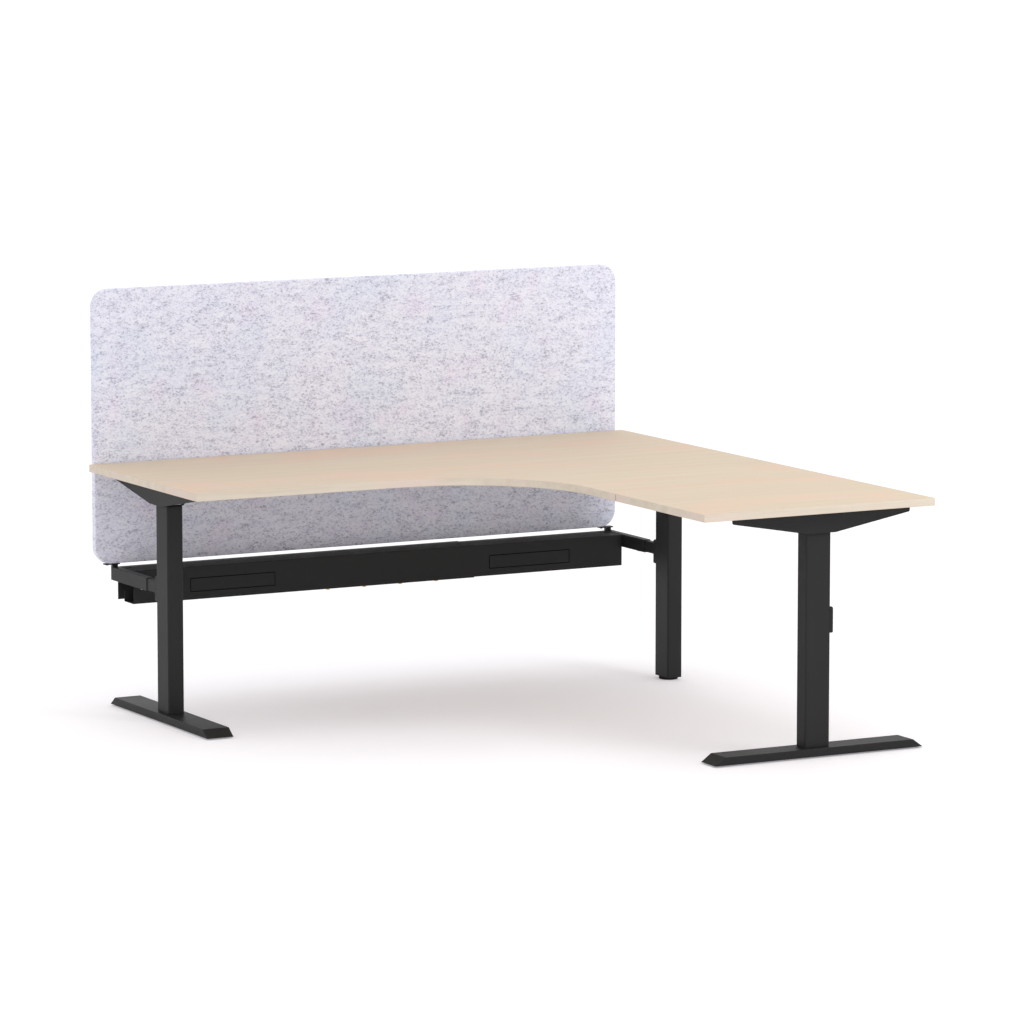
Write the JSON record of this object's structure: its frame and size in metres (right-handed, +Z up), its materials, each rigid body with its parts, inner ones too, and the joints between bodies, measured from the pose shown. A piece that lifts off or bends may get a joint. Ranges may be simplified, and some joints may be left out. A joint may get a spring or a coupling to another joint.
{
  "type": "screened corner workstation",
  "caption": "Height-adjustable corner desk on telescopic columns with feet, a rear cable tray and an upright felt screen.",
  "frame": {"origin": "centre of the footprint on the floor", "axes": "+Z up; X along the main board, with the wing on the right; +Y towards the screen; the user sits on the -Y side"},
  "size_m": [1.808, 1.832, 1.24],
  "materials": {
    "frame_black": "fine-textured black powder coat",
    "tray_black": "black powder coat on sheet",
    "black_plastic": "moulded, matt",
    "glide_rubber": "matt",
    "zinc_steel": "bright zinc",
    "yellow_zinc": "yellow zinc",
    "motor_casting": "cast, satin",
    "nut_plastic": "natural",
    "maple_laminate": "pale maple laminate, matt",
    "grey_felt": "pressed polyester felt, pale lavender grey melange"
  },
  "bodies": {
    "base": {"left_foot": "frame_black", "wing_foot": "frame_black", "left_column_tube": "frame_black", "corner_column_tube": "frame_black", "wing_column_tube": "frame_black", "column_blocks": "frame_black", "left_arm_slide": "frame_black", "corner_arm_slide": "frame_black", "left_arm_sleeve": "frame_black", "corner_arm_sleeve": "frame_black", "left_screen_bracket": "frame_black", "right_screen_bracket": "frame_black", "tray_left_half": "tray_black", "tray_right_half": "tray_black", "outlet_plates": "tray_black", "column_collars": "black_plastic", "spare_block_cap": "black_plastic", "push_tubes": "zinc_steel", "foot_bolts": "zinc_steel", "arm_screws": "zinc_steel", "block_bolts": "zinc_steel", "screen_screws": "zinc_steel", "splice_screws": "yellow_zinc", "spindle_nuts": "nut_plastic", "screen_panel": "grey_felt"},
    "lift": {"left_inner_tube": "frame_black", "corner_inner_tube": "frame_black", "wing_inner_tube": "frame_black", "inner_bushes": "black_plastic", "left_rocker": "frame_black", "corner_rocker": "frame_black", "wing_rocker": "frame_black", "left_gear_motor": "motor_casting", "corner_gear_motor": "motor_casting", "wing_gear_motor": "motor_casting", "gearbox_bolts": "zinc_steel", "main_rails_left": "frame_black", "main_rails_right": "frame_black", "wing_rails_front": "frame_black", "wing_rails_back": "frame_black", "rail_sleeves": "zinc_steel", "rail_screws": "zinc_steel", "main_top": "maple_laminate", "wing_top": "maple_laminate", "joining_plates": "zinc_steel", "top_screws": "zinc_steel", "control_box": "black_plastic", "handset_body": "black_plastic"},
    "paddle": {"handset_paddle": "black_plastic"},
    "left_screw": {"left_spindle": "zinc_steel"},
    "corner_screw": {"corner_spindle": "zinc_steel"},
    "wing_screw": {"wing_spindle": "zinc_steel"},
    "left_front_glide": {"left_front_glide": "glide_rubber"},
    "left_back_glide": {"left_back_glide": "glide_rubber"},
    "wing_inner_glide": {"wing_inner_glide": "glide_rubber"},
    "wing_outer_glide": {"wing_outer_glide": "glide_rubber"},
    "corner_glide": {"corner_glide": "glide_rubber"}
  },
  "joints": [
    {"name": "lift_travel", "type": "slide", "parent": "base", "child": "lift", "axis": [0, 0, 1], "range_m": [0, 0.47]},
    {"name": "left_screw_turn", "type": "hinge", "parent": "lift", "child": "left_screw", "pos_m": [-0.798, 0.552, 0.6], "axis": [0, 0, 1], "range_deg": [-1, 8480]},
    {"name": "corner_screw_turn", "type": "hinge", "parent": "lift", "child": "corner_screw", "pos_m": [0.859, 0.525, 0.6], "axis": [0, 0, 1], "range_deg": [-1, 8480]},
    {"name": "wing_screw_turn", "type": "hinge", "parent": "lift", "child": "wing_screw", "pos_m": [0.564, -0.81, 0.6], "axis": [0, 0, 1], "range_deg": [-1, 8480]},
    {"name": "paddle_rock", "type": "hinge", "parent": "lift", "child": "paddle", "pos_m": [-0.532, 0.252, 0.6965], "axis": [1, 0, 0], "range_deg": [-8, 8], "stiffness_Nm_per_rad": 0.3},
    {"name": "left_front_glide_level", "type": "slide", "parent": "base", "child": "left_front_glide", "axis": [0, 0, 1], "range_m": [-0.012, 0]},
    {"name": "left_back_glide_level", "type": "slide", "parent": "base", "child": "left_back_glide", "axis": [0, 0, 1], "range_m": [-0.012, 0]},
    {"name": "wing_inner_glide_level", "type": "slide", "parent": "base", "child": "wing_inner_glide", "axis": [0, 0, 1], "range_m": [-0.012, 0]},
    {"name": "wing_outer_glide_level", "type": "slide", "parent": "base", "child": "wing_outer_glide", "axis": [0, 0, 1], "range_m": [-0.012, 0]},
    {"name": "corner_glide_level", "type": "slide", "parent": "base", "child": "corner_glide", "axis": [0, 0, 1], "range_m": [-0.012, 0]}
  ],
  "couplings": [
    {"joint": "left_screw_turn", "follows": "lift_travel", "rad_per_m": 314.16},
    {"joint": "corner_screw_turn", "follows": "lift_travel", "rad_per_m": 314.16},
    {"joint": "wing_screw_turn", "follows": "lift_travel", "rad_per_m": 314.16}
  ]
}
